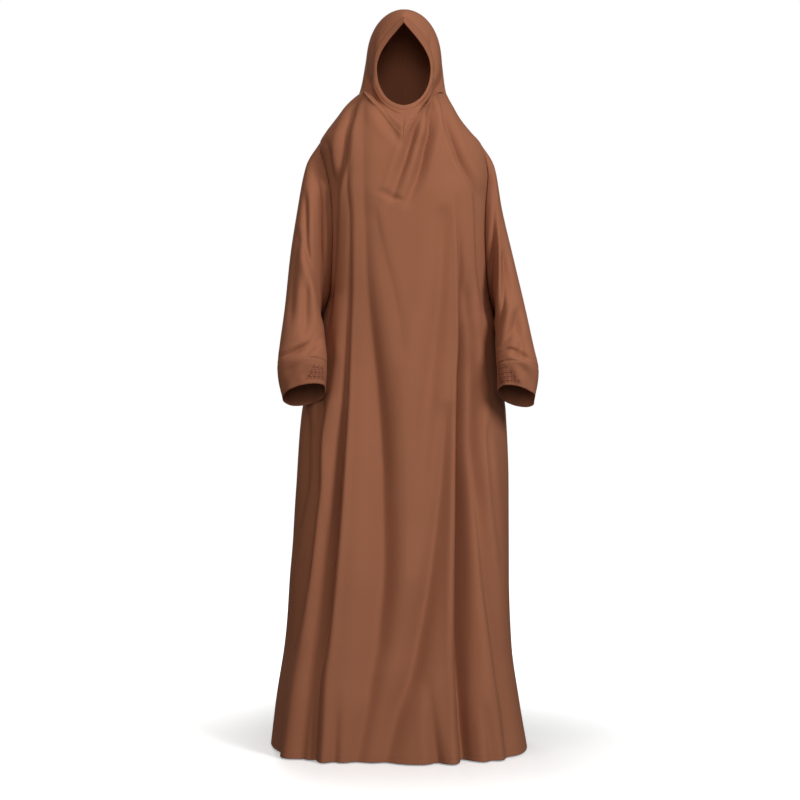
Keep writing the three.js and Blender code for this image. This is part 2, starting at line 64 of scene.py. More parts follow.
# %% Camera
CROWN_LIFT = 1.703  # the origin's height above the hem
CAMERA_DISTANCE = 4.2
CAMERA_HEIGHT = 0.799
CAMERA_ASIDE = -0.007  # so the garment stands a little right of the picture's middle
FRAME_WIDTH = 1.864  # what the picture spans at the middle of the garment
SENSOR = 36.0
camera_data = bpy.data.cameras.new("camera")
camera_data.sensor_width = SENSOR
camera_data.lens = SENSOR * CAMERA_DISTANCE / FRAME_WIDTH
camera = bpy.data.objects.new("camera", camera_data)
camera.location = (CAMERA_ASIDE, -CAMERA_DISTANCE, CAMERA_HEIGHT - CROWN_LIFT)
camera.rotation_euler = (np.pi / 2, 0, 0)
bpy.context.collection.objects.link(camera)
bpy.context.scene.camera = camera
print("lens", round(camera_data.lens, 1), "mm")

# %% [markdown]
# Every form here is worked out from short tables. A table's first column is its key, such
# as a height, and each other column is read as a smooth curve over it. The curve has no
# overshoot between two rows, so a width never swells past the values that were given.


# %% Smooth tables
def curve(keys, values):
    keys, values = np.array(keys, float), np.array(values, float)
    order = np.argsort(keys)
    keys, values = keys[order], values[order]
    rise = np.diff(values) / np.diff(keys)
    slopes = np.concatenate([rise[:1], np.zeros(len(keys) - 2), rise[-1:]])
    agree = rise[:-1] * rise[1:] > 0
    total = np.where(agree, rise[:-1] + rise[1:], 1)
    slopes[1:-1] = np.where(agree, 2 * rise[:-1] * rise[1:] / total, 0)

    def read(key):
        at = np.clip(key, keys[0], keys[-1])
        i = np.clip(np.searchsorted(keys, at, side="right") - 1, 0, len(keys) - 2)
        span = keys[i + 1] - keys[i]
        t = (at - keys[i]) / span
        ease = t * t * (3 - 2 * t)
        leave = t * (1 - t) ** 2 * span * slopes[i]
        arrive = t * t * (1 - t) * span * slopes[i + 1]
        return values[i] * (1 - ease) + values[i + 1] * ease + leave - arrive

    return read


class Table:
    def __init__(self, names, rows):
        columns = list(zip(*rows))
        for name, values in zip(names.split()[1:], columns[1:]):
            setattr(self, name, curve(columns[0], values))


def smooth(value, low, high):
    t = np.clip((value - low) / (high - low), 0, 1)
    return t * t * (3 - 2 * t)


def mix(a, b, share):
    return a + (b - a) * share


# %% [markdown]
# The body is a stack of level sections, in millimetres and by height above the hem: how
# wide it is on each side, how far it stands forward and back, and how flat its front and
# back are. These are the garment's driving sizes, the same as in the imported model.

# %% The body's sections
NECK_SIDE = 1511
NECK_FRONT_DIP = 118
NECK_BACK_DIP = 12
SHOULDER, UNDERARM = 1400, 1000
ARMHOLE_MIDDLE, ARMHOLE_HALF = (SHOULDER + UNDERARM) / 2, (SHOULDER - UNDERARM) / 2
NECK_POINT = 3.2  # the higher this is, the narrower the V
ARMHOLE_REACH = {"front": 68, "back": 52}  # how far the armhole cuts into each panel
SEAM_HOLD = 14  # the higher these two are, the nearer to a seam the folds and the dip go on
NECK_HOLD = 6
COLUMN_LEAN = 1.5  # the higher this is, the fewer columns lean along with the armhole
BODY = Table("height left right side_y front back front_flat back_flat", [
    (NECK_SIDE, 103, 101, 5, 112, 106, 1.0, 1.0),
    (1486, 130, 114, 5, 115, 103, 1.05, 1.0),
    (1451, 158, 135, 5, 121, 104, 1.12, 1.0),
    (1416, 184, 163, 5, 128, 108, 1.24, 1.0),
    (SHOULDER, 193, 178, 5, 131, 110, 1.3, 1.0),
    (1380, 196, 189, 5, 134, 112, 1.36, 1.0),
    (1358, 191, 196, 5, 138, 114, 1.42, 1.0),
    (1311, 180, 203, 5, 144, 117, 1.55, 1.0),
    (1265, 173, 199, 5, 150, 117, 1.65, 1.0),
    (1172, 169, 196, 5, 153, 112, 1.65, 1.0),
    (1050, 172, 201, 6, 157, 110, 1.42, 1.0),
    (UNDERARM, 186, 211, 8, 159, 113, 1.25, 1.0),
    (965, 195, 220, 11, 161, 117, 1.15, 1.03),
    (930, 201, 222, 12, 163, 120, 1.08, 1.05),
    (860, 215, 228, 13, 168, 128, 1.02, 1.1),
    (770, 236, 240, 10, 175, 138, 1.04, 1.1),
    (600, 248, 246, 4, 192, 158, 1.22, 1.15),
    (400, 261, 246, 0, 212, 182, 1.35, 1.25),
    (240, 275, 251, 0, 228, 202, 1.45, 1.3),
    (110, 295, 268, 0, 241, 217, 1.55, 1.35),
    (0, 308, 287, 0, 250, 230, 1.6, 1.4),
])


def middle_y(face, height):
    return -BODY.front(height) if face == "front" else BODY.back(height)


def flatness(face, height):
    return BODY.front_flat(height) if face == "front" else BODY.back_flat(height)


def armhole_turn(height):
    return np.arccos(np.clip((ARMHOLE_MIDDLE - height) / ARMHOLE_HALF, -1, 1))


def end_angle(face, height):
    depth = np.abs(BODY.side_y(height) - middle_y(face, height))
    opened = ARMHOLE_REACH[face] * np.sin(armhole_turn(height)) / depth
    return np.arccos(1 - (1 - opened) ** (1 / flatness(face, height)))


def panel_point(face, angle, height):
    share = (1 - np.cos(angle)) ** flatness(face, height)
    half = np.where(angle < 0, BODY.left(height), BODY.right(height))
    x = half * np.sin(angle)
    y = mix(middle_y(face, height), BODY.side_y(height), share)
    return np.stack([x, y, height + 0 * x], axis=-1)


# %% [markdown]
# A fold is a trough that runs down the cloth. Each has a few stations: its height, where
# its dark line lies from left to right, how deep it sinks and how wide it is. It fades
# out where its depth runs to nothing. An edge of 2 gives a rounded trough and nearer 1 a
# sharp one, and the lip is the crest that the cloth throws up beside it. The light comes
# from the right, so the dark line is the trough's right wall. A fold with a lean is
# wider on its left, and with a lean under zero on its right.

# %% How a fold sinks
DARK_WALL = 0.5  # how far the dark line lies right of the trough's foot, in widths
CREST_OUT = 2.3  # how far the lip's crest lies from the foot, and how wide it is
CREST_WIDTH = 0.9


class Fold:
    def __init__(self, stations, edge=2.0, lip=0.12, lean=0.0):
        height, across, deep, width = zip(*stations)
        self.across = curve(height, across)
        self.deep = curve(height, deep)
        self.width = curve(height, width)
        self.edge, self.lip, self.lean = edge, lip, lean

    def sink(self, across, height):
        off = (across - self.across(height)) / self.width(height)
        off = off + DARK_WALL * (1 - self.lean)
        off = np.abs(off) / np.where(off < 0, 1 + self.lean, 1 - self.lean)
        crest = self.lip * np.exp(-((off - CREST_OUT) / CREST_WIDTH) ** 2)
        return self.deep(height) * (np.exp(-off ** self.edge) - crest)


def sunk(folds, across, height):
    return sum(fold.sink(across, height) for fold in folds)


# %% [markdown]
# The front's folds are those of the photograph. Each station is a height, a place from left
# to right, a depth and a width, in millimetres.

# %% Folds of the front
FRONT_FOLDS = [
    # from the left side of the hood down the chest to the left armhole
    Fold([(1500, -92, 4, 8), (1474, -112, 12, 8), (1438, -121, 15, 8), (1404, -129, 16, 9),
          (1336, -138, 17, 8), (1302, -148, 17, 7), (1254, -155, 17, 7), (1160, -158, 17, 7),
          (1060, -163, 15, 7), (990, -169, 8, 8), (950, -173, 0, 8)], edge=1.5),
    Fold([(1404, -176, 0, 6), (1375, -171, 5, 6), (1336, -165, 8, 6), (1302, -160, 8, 6),
          (1262, -157, 3, 6), (1240, -156, 0, 6)], edge=1.7),
    # the long deep fold on the left that reaches the hem
    Fold([(1420, -116, 0, 10), (1361, -119, 3, 9), (1294, -125, 4, 8), (1204, -119, 4, 7),
          (1069, -121, 7, 7), (934, -126, 12, 7), (799, -132, 22, 9), (710, -139, 32, 11),
          (531, -152, 40, 13), (353, -168, 38, 14), (264, -178, 34, 15), (180, -190, 28, 16),
          (110, -194, 26, 17), (0, -198, 28, 19)], edge=1.4, lip=0.16, lean=0.25),
    # broad soft folds over the left of the belly
    Fold([(1500, -88, 0, 12), (1460, -86, 3, 14), (1294, -84, 4, 15), (1204, -80, 7, 17),
          (1070, -74, 11, 22), (935, -62, 19, 27), (755, -43, 29, 32), (620, -33, 35, 36),
          (440, -29, 38, 38), (262, -40, 38, 40), (178, -56, 35, 38), (112, -68, 31, 34),
          (0, -90, 29, 34)], edge=1.6, lip=0.05, lean=0.1),
    Fold([(1240, -60, 0, 12), (1204, -56, 3, 14), (1115, -36, 3, 16), (1025, -14, 3, 18),
          (935, 0, 2, 18), (880, 4, 0, 16)], lip=0.1, lean=0.4),
    # right of the middle, slanting to the centre of the hem
    Fold([(1240, 102, 0, 18), (1204, 101, 7, 18), (1115, 97, 10, 18), (1025, 92, 12, 20),
          (845, 76, 16, 24), (710, 63, 17, 26), (531, 45, 12, 28), (400, 30, 0, 30)], lean=0.1),
    Fold([(800, 108, 0, 18), (755, 105, 11, 18), (620, 98, 22, 22), (442, 79, 30, 27),
          (355, 66, 33, 29), (268, 49, 34, 31), (180, 29, 33, 31), (115, 3, 30, 30),
          (0, -26, 25, 30)], edge=1.6, lean=0.1),
    # the deepest fold, right of the middle, to the hem
    Fold([(1270, 126, 0, 8), (1204, 131, 6, 8), (1115, 136, 14, 8), (1025, 139, 26, 9),
          (935, 142, 38, 10), (845, 145, 54, 14), (709, 148, 66, 17), (531, 150, 72, 20),
          (355, 149, 70, 22), (268, 148, 66, 22), (180, 148, 60, 21), (115, 148, 54, 20),
          (0, 154, 50, 20)], edge=1.7, lip=0.08, lean=-0.4),
    Fold([(1100, 154, 0, 8), (1025, 157, 8, 8), (935, 164, 11, 9), (845, 170, 14, 9),
          (709, 174, 17, 10), (531, 189, 18, 11), (355, 204, 19, 12), (180, 226, 18, 13),
          (115, 238, 16, 14), (0, 250, 14, 15)]),
    Fold([(1070, 150, 0, 8), (1025, 152, 5, 8), (935, 152, 0, 8)]),
    Fold([(760, 194, 0, 6), (709, 197, 7, 7), (620, 204, 8, 7), (531, 213, 7, 8), (442, 222, 4, 8),
          (380, 226, 0, 8)]),
    # the left side of the skirt
    Fold([(820, -180, 0, 10), (760, -188, 20, 10), (709, -194, 25, 10), (620, -194, 24, 11),
          (531, -202, 22, 11), (442, -212, 22, 12), (355, -226, 20, 13), (268, -244, 17, 14),
          (180, -264, 12, 15), (72, -278, 14, 15), (0, -286, 15, 15)],
         edge=1.6, lip=0.15, lean=0.2),
    Fold([(790, -214, 0, 7), (740, -218, 11, 8), (620, -220, 11, 8), (531, -232, 8, 8),
          (442, -244, 3, 9), (400, -246, 0, 9)], edge=1.8),
    Fold([(560, -172, 0, 6), (442, -180, 7, 7), (264, -200, 7, 8), (120, -218, 9, 10),
          (0, -230, 13, 12)]),
    # cowl folds from the right side of the hood across the chest
    Fold([(1500, 88, 4, 8), (1474, 98, 12, 8), (1440, 104, 14, 8), (1406, 113, 15, 8),
          (1370, 124, 15, 8), (1336, 138, 16, 9), (1302, 157, 14, 9), (1262, 174, 11, 8),
          (1204, 176, 11, 7), (1140, 178, 11, 7), (1069, 184, 9, 8), (1010, 194, 4, 9),
          (980, 198, 0, 9)], edge=1.6, lean=-0.1),
    Fold([(1500, 74, 4, 9), (1474, 75, 14, 9), (1440, 68, 20, 10), (1406, 64, 21, 10),
          (1370, 55, 20, 11), (1335, 47, 17, 11), (1300, 38, 14, 12), (1262, 24, 8, 12),
          (1225, 12, 0, 12)], edge=1.6, lip=0.2),
    Fold([(1470, 52, 0, 9), (1440, 43, 14, 10), (1406, 29, 18, 11), (1370, 19, 17, 11),
          (1335, 8, 14, 11), (1300, -4, 11, 11), (1268, -14, 8, 11), (1236, -22, 0, 11)],
         edge=1.6, lip=0.22),
    # the little pocket where they end
    Fold([(1276, -42, 0, 12), (1264, -32, 4, 14), (1254, -16, 5, 14), (1244, -2, 0, 14)]),
    Fold([(1474, -58, 0, 11), (1440, -38, 9, 13), (1407, -18, 7, 13), (1385, -6, 4, 11),
          (1366, 0, 0, 11)]),
    # short waves along the hem
    Fold([(190, 60, 0, 10), (90, 70, 8, 12), (0, 82, 18, 14)]),
    Fold([(130, 190, 0, 10), (80, 196, 8, 10), (0, 208, 15, 12)]),
    Fold([(160, -140, 0, 10), (70, -146, 7, 11), (0, -152, 14, 13)]),
]

# %% [markdown]
# The back isn't shown. Its folds are shallower, and start at uneven heights.

# %% Folds of the back
BACK_FOLDS = [
    Fold([(1420, -120, 0, 10), (1300, -128, 6, 12), (1100, -132, 13, 14), (800, -146, 18, 16),
          (400, -180, 21, 19), (0, -222, 26, 22)], edge=1.6),
    Fold([(1330, -82, 0, 10), (1150, -86, 6, 12), (900, -94, 13, 15), (500, -116, 18, 19),
          (0, -146, 24, 24)]),
    Fold([(1200, -34, 0, 10), (1000, -36, 5, 11), (700, -44, 11, 15), (350, -55, 15, 20),
          (0, -66, 20, 23)]),
    Fold([(1290, 24, 0, 10), (1100, 22, 5, 11), (800, 20, 11, 14), (400, 16, 17, 20),
          (0, 10, 22, 24)], edge=1.8),
    Fold([(1400, 72, 0, 10), (1200, 80, 6, 12), (900, 86, 13, 14), (450, 96, 20, 19),
          (0, 106, 26, 23)], edge=1.6),
    Fold([(1270, 124, 0, 10), (1050, 130, 7, 12), (700, 142, 14, 15), (350, 160, 18, 19),
          (0, 182, 22, 22)], edge=1.8),
    Fold([(640, -196, 0, 10), (400, -214, 8, 12), (0, -252, 14, 15)]),
    Fold([(560, 186, 0, 10), (300, 204, 8, 12), (0, 232, 14, 15)]),
    Fold([(500, 60, 0, 9), (250, 62, 6, 11), (0, 60, 11, 12)]),
    Fold([(420, -12, 0, 9), (200, -16, 5, 11), (0, -22, 10, 12)]),
    # the cloth hangs in shallow waves between the shoulder blades
    Fold([(1480, -40, 0, 14), (1400, -46, 4, 16), (1280, -52, 4, 18), (1180, -56, 0, 18)]),
    Fold([(1470, 34, 0, 14), (1380, 42, 5, 16), (1260, 50, 4, 18), (1150, 54, 0, 18)]),
]
print(len(FRONT_FOLDS), "folds in front,", len(BACK_FOLDS), "behind")

# %% [markdown]
# The folds push a panel inwards along its level normal. At the seams they die away, so
# that neighbouring pieces meet. The neckline dips to a V in front.


# %% The front and back surfaces
def folded_panel(face, angle, height):
    step = 0.01
    point = panel_point(face, angle, height)
    along = panel_point(face, angle + step, height) - panel_point(face, angle - step, height)
    along /= np.linalg.norm(along, axis=-1, keepdims=True)
    inward = np.stack([-along[..., 1], along[..., 0], 0 * along[..., 0]], axis=-1)
    if face == "back":
        inward = -inward
    to_seam = np.minimum(np.abs(angle) / end_angle(face, height), 1)
    folds = FRONT_FOLDS if face == "front" else BACK_FOLDS
    depth = sunk(folds, point[..., 0], height) * (1 - to_seam ** SEAM_HOLD)
    return point + inward * depth[..., None]


def neck_dip(face, angle):
    if face == "front":
        return NECK_FRONT_DIP * np.maximum(1 - np.abs(angle) / (np.pi / 2), 0) ** NECK_POINT
    return NECK_BACK_DIP * np.cos(angle) ** 2


def panel_surface(face, across, height):
    # columns near the middle hang straight, and those near the seam follow it
    angle = across * mix(np.pi / 2, end_angle(face, height), np.abs(across) ** COLUMN_LEAN)
    below = smooth(height, UNDERARM, NECK_SIDE)
    held = 1 - np.minimum(np.abs(across), 1) ** NECK_HOLD
    return folded_panel(face, angle, height - neck_dip(face, angle) * below * held)


# %% [markdown]
# A piece is made from a flat grid whose vertices are moved on to its surface, as a cloth
# is laid on a form. Rows run down it and columns run to the right, seen from outside.
# Beside its seams the cloth turns in by about a millimetre, which shows as a fine valley,
# and at some a seam allowance lies under the next piece, so that no light comes through.
# A UV map holds real distances along the cloth, so stitches can be drawn true to size.


# %% Sheets from grids
MM = 0.001
TURN_IN = 1.3  # how deep the valley beside a seam is, and how wide
TURN_WIDTH = 2.4
LAP_REACH = 5  # how far a seam allowance goes past the edge, and how deep it lies
LAP_DEPTH = 2.4
CLOTH_THICKNESS = 0.0011
FAR = 3.0  # a distance from the finished edge that no stitch reaches
pieces = {}


def spread(count, fine=(0.003, 0.007, 0.013)):
    """Evenly spread places from 0 to 1, with a few close ones at both ends."""
    fine = np.array(fine)
    inner = np.linspace(0, 1, count + 1)
    clear = fine[-1] * 1.4
    inner = inner[(inner > clear) & (inner < 1 - clear)]
    return np.concatenate([[0], fine, inner, 1 - fine[::-1], [1]])


def lengths(points, axis):
    steps = np.linalg.norm(np.diff(points, axis=axis), axis=-1)
    shape = list(steps.shape)
    shape[axis] = 1
    return np.concatenate([np.zeros(shape), np.cumsum(steps, axis=axis)], axis=axis)


def grid_normals(points):
    down = np.gradient(points, axis=0)
    right = np.gradient(points, axis=1)
    normal = np.cross(down, right)
    return normal / np.maximum(np.linalg.norm(normal, axis=-1, keepdims=True), 1e-9)


def turned_in(points, top, bottom, left, right):
    """Each side is given as a share of the full depth to which its edge is turned in."""
    down, across = lengths(points, 0), lengths(points, 1)
    near = np.zeros(points.shape[:2])
    sides = [(top, down), (bottom, down[-1:] - down),
             (left, across), (right, across[:, -1:] - across)]
    for share, distance in sides:
        near = np.maximum(near, share * np.exp(-(distance / TURN_WIDTH) ** 2))
    return points - grid_normals(points) * (TURN_IN * near)[..., None]


def seam_allowance(points, edge, inside):
    """A row past an edge row, away from the row inside it, that lies under the next piece."""
    past = points[edge] - points[inside]
    past /= np.linalg.norm(past, axis=-1, keepdims=True)
    return (points[edge] + past * LAP_REACH - grid_normals(points)[edge] * LAP_DEPTH)[None]


def add_sheet(node, points, uv, close=False):
    """Makes the cloth that stands for a node, and closes a tube along its first column."""
    name = node + "_cloth"
    rows, columns = points.shape[:2]
    shape = bmesh.new()
    bmesh.ops.create_grid(shape, x_segments=columns - 1, y_segments=rows - 1, size=1)
    place = points * MM - np.array([0, 0, CROWN_LIFT])
    index = {}
    for vertex in shape.verts:
        k = round((vertex.co.x + 1) / 2 * (columns - 1))
        i = rows - 1 - round((vertex.co.y + 1) / 2 * (rows - 1))
        index[vertex] = (i, k)
        vertex.co = Vector(place[i, k])
    cloth_map = shape.loops.layers.uv.new("cloth")
    for face in shape.faces:
        face.smooth = True
        for loop in face.loops:
            i, k = index[loop.vert]
            loop[cloth_map].uv = uv[i, k]
    if close:
        bmesh.ops.remove_doubles(shape, verts=shape.verts, dist=1e-5)
    mesh = bpy.data.meshes.new(name)
    shape.to_mesh(mesh)
    shape.free()
    piece = bpy.data.objects.new(name, mesh)
    bpy.context.collection.objects.link(piece)
    wall = piece.modifiers.new("cloth", "SOLIDIFY")
    wall.thickness = CLOTH_THICKNESS
    wall.offset = -1
    pieces[node] = piece
    print(name, rows, "by", columns, "points")


def cloth_uv(points, from_edge, centre=0):
    across = lengths(points, 1)
    across = across - across[:, centre:centre + 1]
    return np.stack([across, from_edge + 0 * across], axis=-1) * MM


# %% [markdown]
# The front and the back hang from the neckline and the armholes to the hem. Their rows
# are close together near the hem, where the cloth is turned up and stitched.

# %% Front and back
FRONT_COLUMNS = 176
BACK_COLUMNS = 120
NECK_ROWS = [0, 1.5, 3.5, 6.5]  # below the neck's side point
NECK_END = 12  # where the even rows begin, below that point
HEM_START = 33  # where they end above the hem, and the hem's own close rows follow
HEM_ROWS = [26, 20, 16, 14, 13, 12, 11, 10, 8, 5, 2, 0]


def panel(face, columns, rows):
    turns = np.linspace(0, np.pi, rows["armhole"])
    heights = np.concatenate([
        NECK_SIDE - np.array(NECK_ROWS),
        np.linspace(NECK_SIDE - NECK_END, SHOULDER + 1, rows["shoulder"]),
        ARMHOLE_MIDDLE + ARMHOLE_HALF * np.cos(turns),
        np.linspace(UNDERARM - 3, HEM_START, rows["side"]),
        HEM_ROWS])
    height, across = np.meshgrid(heights, spread(columns) * 2 - 1, indexing="ij")
    points = panel_surface(face, across, height)
    if face == "back":
        points = points[:, ::-1]
    down = lengths(points, 0)
    uv = cloth_uv(points, down[-1:] - down, centre=points.shape[1] // 2)
    points = turned_in(points, top=0, bottom=0, left=0.8, right=0.8)
    add_sheet(face, points, uv)


panel("front", FRONT_COLUMNS, {"shoulder": 16, "armhole": 76, "side": 148})
panel("back", BACK_COLUMNS, {"shoulder": 12, "armhole": 64, "side": 110})

# %% [markdown]
# The hood is a fan of hoops, from the edge of the face band to the neckline. Each hoop is
# a loop through a top, two sides and a low point under the chin, and the last one is the
# neckline itself. Two halves meet in a seam over the crown and under the chin.

# %% The hood's hoops
HOOD = Table("turn top_y top_z middle_x side_x side_y side_z low_y low_z peak", [
    (0, -92, 1661, 1.5, 62, -62, 1560, -101, 1470, 2.2),
    (0.08, -88, 1673, 1.5, 73, -55, 1562, -105, 1459, 1.6),
    (0.22, -66, 1693, 2, 82, -34, 1580, -110, 1449, 1.15),
    (0.42, -12, 1704, 2.5, 87, -2, 1590, -116, 1438, 0.9),
    (0.64, 64, 1678, 2, 91, 22, 1573, -121, 1426, 0.9),
    (0.84, 104, 1600, 1, 97, 22, 1540, -126, 1414, 1),
    (1, 106, 1500, 0, 103, 5, NECK_SIDE, -129, 1393, 1),
])
BAND_SEAM = 0.08
UNDER_LAP = 1.1  # how far the hood lies behind the edge of the front at the V
LAP_TURNS = (0.9, 1)  # where that begins and is full, along the hood and round it
LAP_ROUNDS = (0.82, 0.94)
HOOD_AXIS_Y = 10  # the hood's folds sink towards an upright line at this depth
FOLDS_FACE = (-5, 25)  # they fade in from here to here, counted forwards from the ears
BAND_HOLD = 0.12  # they die away over these shares of the hood, at the band and the neck
NECKLINE_HOLD = 0.16

# %% [markdown]
# The hood's folds run down from its sides and meet under the chin.

# %% Folds of the hood
HOOD_FOLDS = [
    Fold([(1660, -64, 0, 6), (1600, -69, 5, 7), (1550, -72, 7, 7), (1508, -86, 8, 8),
          (1470, -100, 3, 8), (1455, -104, 0, 8)], edge=1.6),
    Fold([(1620, -81, 0, 5), (1580, -80, 3, 6), (1540, -84, 4, 6), (1500, -96, 4, 7),
          (1480, -100, 0, 7)]),
    Fold([(1650, 66, 0, 6), (1600, 68, 5, 6), (1540, 78, 6, 6), (1508, 81, 7, 7), (1480, 76, 5, 7),
          (1462, 74, 0, 7)], edge=1.6),
    Fold([(1560, 92, 0, 6), (1520, 94, 4, 6), (1480, 98, 4, 7), (1465, 99, 0, 7)]),
    Fold([(1540, -76, 0, 8), (1508, -70, 4, 9), (1474, -57, 5, 10), (1440, -36, 4, 11),
          (1405, -10, 2, 10), (1395, -4, 0, 9)]),
    Fold([(1540, 76, 0, 7), (1508, 68, 5, 8), (1474, 55, 6, 9), (1440, 43, 5, 9), (1410, 28, 3, 9),
          (1395, 22, 0, 8)]),
    Fold([(1500, -55, 0, 5), (1470, -38, 2, 6), (1452, -16, 2.5, 6), (1446, -4, 0, 6)]),
    Fold([(1500, 56, 0, 5), (1470, 40, 2, 6), (1452, 18, 2.5, 6), (1446, 6, 0, 6)]),
]
print(len(HOOD_FOLDS), "folds on the hood")

# %% [markdown]
# A point of the hood is found by its turn, from the band at 0 to the neckline at 1, and by
# how far it is round its hoop, from the crown at 0 to the chin at 1. The last hoops are
# pulled on to the neckline of the front and the back.


# %% The hood's surface
def hoop_point(side, turn, round_):
    upper = round_ < 0.5
    t = np.where(upper, round_ * 2, 2 - round_ * 2)
    ease = t * t * (3 - 2 * t)
    arrive = np.where(upper, -1, 1) * (np.pi / 2) * t * t * (1 - t)
    y = mix(np.where(upper, HOOD.top_y(turn), HOOD.low_y(turn)), HOOD.side_y(turn), ease)
    z = mix(np.where(upper, HOOD.top_z(turn), HOOD.low_z(turn)), HOOD.side_z(turn), ease)
    y = y + arrive * (HOOD.low_y(turn) - HOOD.top_y(turn)) / 2
    z = z + arrive * (HOOD.low_z(turn) - HOOD.top_z(turn)) / 2
    narrow = np.where(upper, HOOD.peak(turn), 1)
    x = HOOD.side_x(turn) * np.sin(t * np.pi / 2) ** narrow
    return np.stack([HOOD.middle_x(turn) + side * x, y, z], axis=-1)


def neck_point(side, round_):
    behind = panel_surface("back", side * np.clip(round_ * 2, 0, 1), NECK_SIDE + 0 * round_)
    before = panel_surface("front", side * np.clip(2 - round_ * 2, 0, 1), NECK_SIDE + 0 * round_)
    return np.where((round_ < 0.5)[..., None], behind, before)


def hood_surface(side, turn, round_):
    point = hoop_point(side, turn, round_)
    pull = neck_point(side, round_) - hoop_point(side, 1 + 0 * turn, round_)
    point = point + pull * (turn ** 3)[..., None]
    outward = np.stack([point[..., 0], point[..., 1] - HOOD_AXIS_Y, 0 * point[..., 0]], axis=-1)
    outward /= np.linalg.norm(outward, axis=-1, keepdims=True)
    facing = smooth(-point[..., 1], *FOLDS_FACE)
    held = smooth(turn, 0, BAND_HOLD) * smooth(1 - turn, 0, NECKLINE_HOLD)
    depth = sunk(HOOD_FOLDS, point[..., 0], point[..., 2]) * facing * held
    depth = depth + UNDER_LAP * smooth(turn, *LAP_TURNS) * smooth(round_, *LAP_ROUNDS)
    return point - outward * depth[..., None]


# %% [markdown]
# Each half of the hood is one sheet, from the band to the neckline, with a seam allowance
# under the front and the back. The band is a single strip all the way round the face.

# %% Hood halves and face band
HOOD_COLUMNS = 110
HOOD_ROWS = 84
BAND_ROWS = 9


def hood_half(node, side):
    turns = mix(BAND_SEAM, 1, spread(HOOD_ROWS, fine=(0.006, 0.014)))
    rounds = spread(HOOD_COLUMNS)
    turn, round_ = np.meshgrid(turns, rounds, indexing="ij")
    points = hood_surface(side, turn, round_)
    if side > 0:
        points = points[:, ::-1]
    uv = cloth_uv(points, FAR / MM)
    points = turned_in(points, top=0.8, bottom=0, left=0.25, right=0.25)
    points = np.concatenate([points, seam_allowance(points, -1, -2)])
    add_sheet(node, points, np.concatenate([uv, uv[-1:]]))


def face_band():
    rounds = spread(HOOD_COLUMNS, fine=(0.004,))
    turns = np.linspace(0, BAND_SEAM, BAND_ROWS)
    turn, round_ = np.meshgrid(turns, rounds, indexing="ij")
    right, left = hood_surface(1, turn, round_), hood_surface(-1, turn, round_)
    points = np.concatenate([right[:, ::-1], left[:, 1:]], axis=1)
    uv = cloth_uv(points, lengths(points, 0))
    points = turned_in(points, top=0, bottom=0.8, left=0.25, right=0.25)
    add_sheet("face_band", points, uv)


hood_half("hood_left", -1)
hood_half("hood_right", 1)
face_band()

# %% [markdown]
# Each sleeve is a tube of slanting rings, from the deep dropped armhole to the cuff seam.
# A ring has a line over the arm, a line under it and a half thickness. The first rings
# bend over to the armhole's own edge, so the sleeve grows out of the body.

# %% Sleeve rings
SLEEVE_FLAT = 0.75  # under 1 the sleeve's front and back are flatter than an oval's
SLEEVE_HEAD = 0.3  # the share of the sleeve that bends over to the armhole
HEAD_HOLD = 0.1  # its folds die away over these shares, at the armhole and at the cuff
CUFF_HOLD = 0.05
SINK_SIDEWAYS = 0.5  # how far they sink sideways for each millimetre backwards
RING_NAMES = "over_x over_y over_z under_x under_y under_z half rise"
SLEEVES = {
    "left": Table("along " + RING_NAMES, [
        (0, 193, 5, SHOULDER, 186, 8, UNDERARM, 70, 0),
        (0.12, 225, 4, 1345, 189, -14, 989, 77, 2),
        (0.3, 246, -2, 1235, 183, -52, 974, 84, 6),
        (0.5, 262, -24, 1120, 179, -84, 952, 73, 10),
        (0.7, 271, -60, 1010, 176, -102, 926, 64, 15),
        (0.87, 280, -104, 922, 172, -126, 902, 57, 18),
        (1, 284, -128, 876, 171, -140, 878, 52, 18),
        (2, 270, -128, 801, 173, -140, 820, 50, 23),
    ]),
    "right": Table("along " + RING_NAMES, [
        (0, 179, 5, SHOULDER, 211, 8, UNDERARM, 66, 0),
        (0.12, 211, 1, 1344, 213, -12, 990, 78, 2),
        (0.3, 231, -2, 1235, 208, -48, 972, 84, 6),
        (0.5, 256, -24, 1120, 211, -80, 952, 72, 10),
        (0.7, 279, -60, 1010, 210, -102, 926, 63, 15),
        (0.87, 295, -104, 922, 210, -126, 900, 55, 18),
        (1, 306, -128, 866, 211, -140, 874, 50, 17),
        (2, 299, -128, 797, 215, -140, 818, 48, 22),
    ]),
}

# %% [markdown]
# The sleeves' folds run down from the armhole, and slant where the cloth crushes above the
# cuff. Each cuff has two soft dents.

